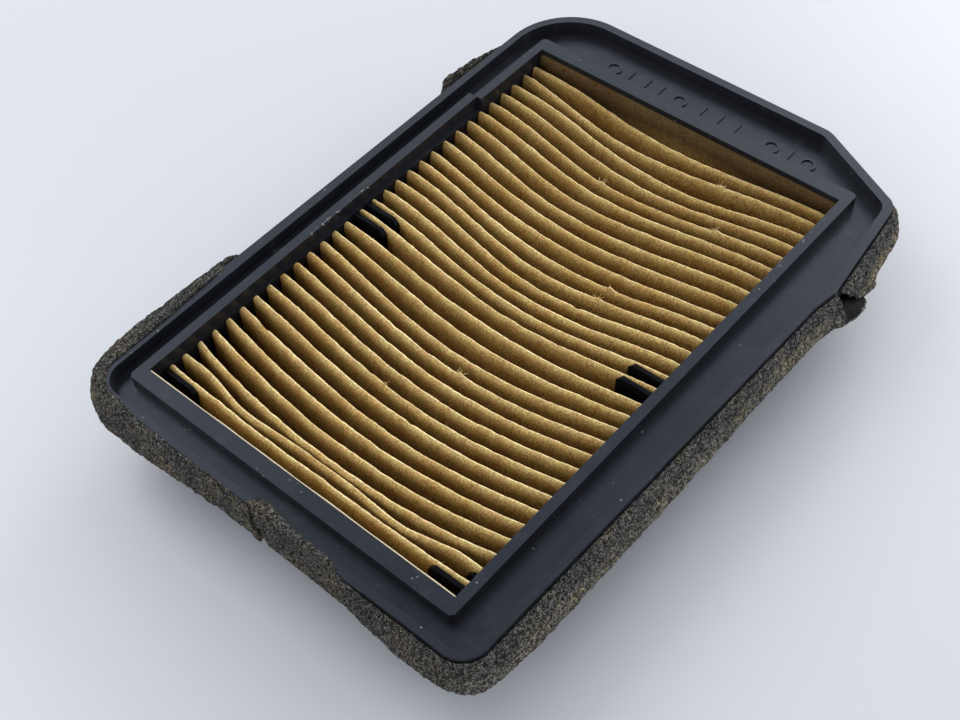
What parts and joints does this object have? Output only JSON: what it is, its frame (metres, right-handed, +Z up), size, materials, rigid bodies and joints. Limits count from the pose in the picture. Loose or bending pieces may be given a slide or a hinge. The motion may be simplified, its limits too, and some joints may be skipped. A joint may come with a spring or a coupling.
{
  "type": "panel air filter",
  "caption": "Flat panel air filter: a black moulded frame with a lip and raised strip around a bowed pleated paper pack, with a foam seal stuck under its flange.",
  "frame": {"origin": "centre of the whole part's bounding box, at the underside of the box around the pleats", "axes": "+X along the long side towards the cut corner's end, +Y across, towards the side with the two rounded corners only, +Z up out of the clean face"},
  "size_m": [0.1958, 0.1412, 0.0317],
  "materials": {
    "moulding": "satin",
    "oiled_paper": "matte",
    "foam": "matte",
    "tape": "satin"
  },
  "bodies": {
    "root": {"frame": "moulding", "pleated_paper": "oiled_paper", "foam_back": "foam", "foam_front": "foam", "foam_end": "foam", "tape_back": "tape", "tape_front": "tape", "tape_end": "tape"}
  },
  "joints": []
}
